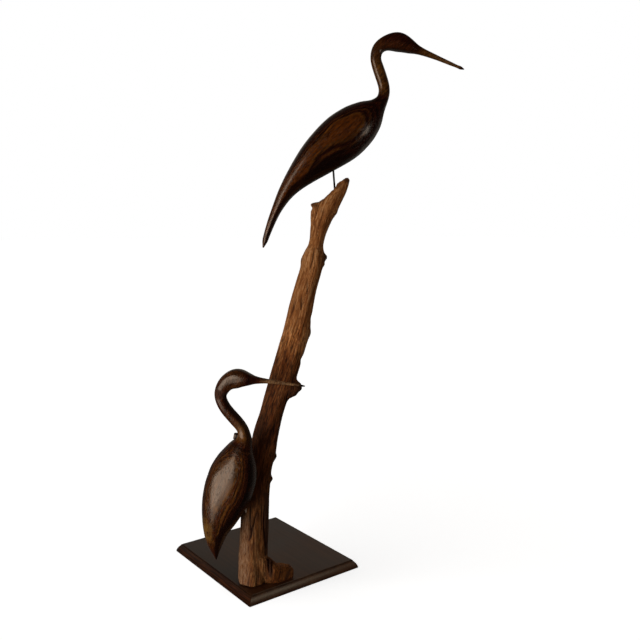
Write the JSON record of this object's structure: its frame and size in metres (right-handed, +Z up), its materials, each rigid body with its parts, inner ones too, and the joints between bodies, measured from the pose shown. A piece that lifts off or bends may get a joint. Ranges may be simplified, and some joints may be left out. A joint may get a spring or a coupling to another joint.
{
  "type": "carved heron sculpture",
  "caption": "Carved wooden herons wired above and beside a leaning driftwood post with a torn top, on a moulded rectangular board that rests on its underside.",
  "frame": {"origin": "centre of the board's underside", "axes": "+Z up, X along the board's short edge, Y along its long edge; the herons' beaks point towards +X and -Y, 37.4 degrees from +X"},
  "size_m": [0.3349, 0.2651, 0.7246],
  "materials": {
    "heron_wood": "polished dark red-brown wood with amber growth rings",
    "driftwood": "weathered and dull, with open grain and cracks",
    "board_wood": "satin dark brown stain",
    "wire": "darkened steel wire"
  },
  "bodies": {
    "root": {"base_board": "board_wood", "driftwood_post": "driftwood", "upper_heron": "heron_wood", "upper_heron_wire": "wire", "lower_heron": "heron_wood", "lower_heron_wire": "wire"}
  },
  "joints": []
}
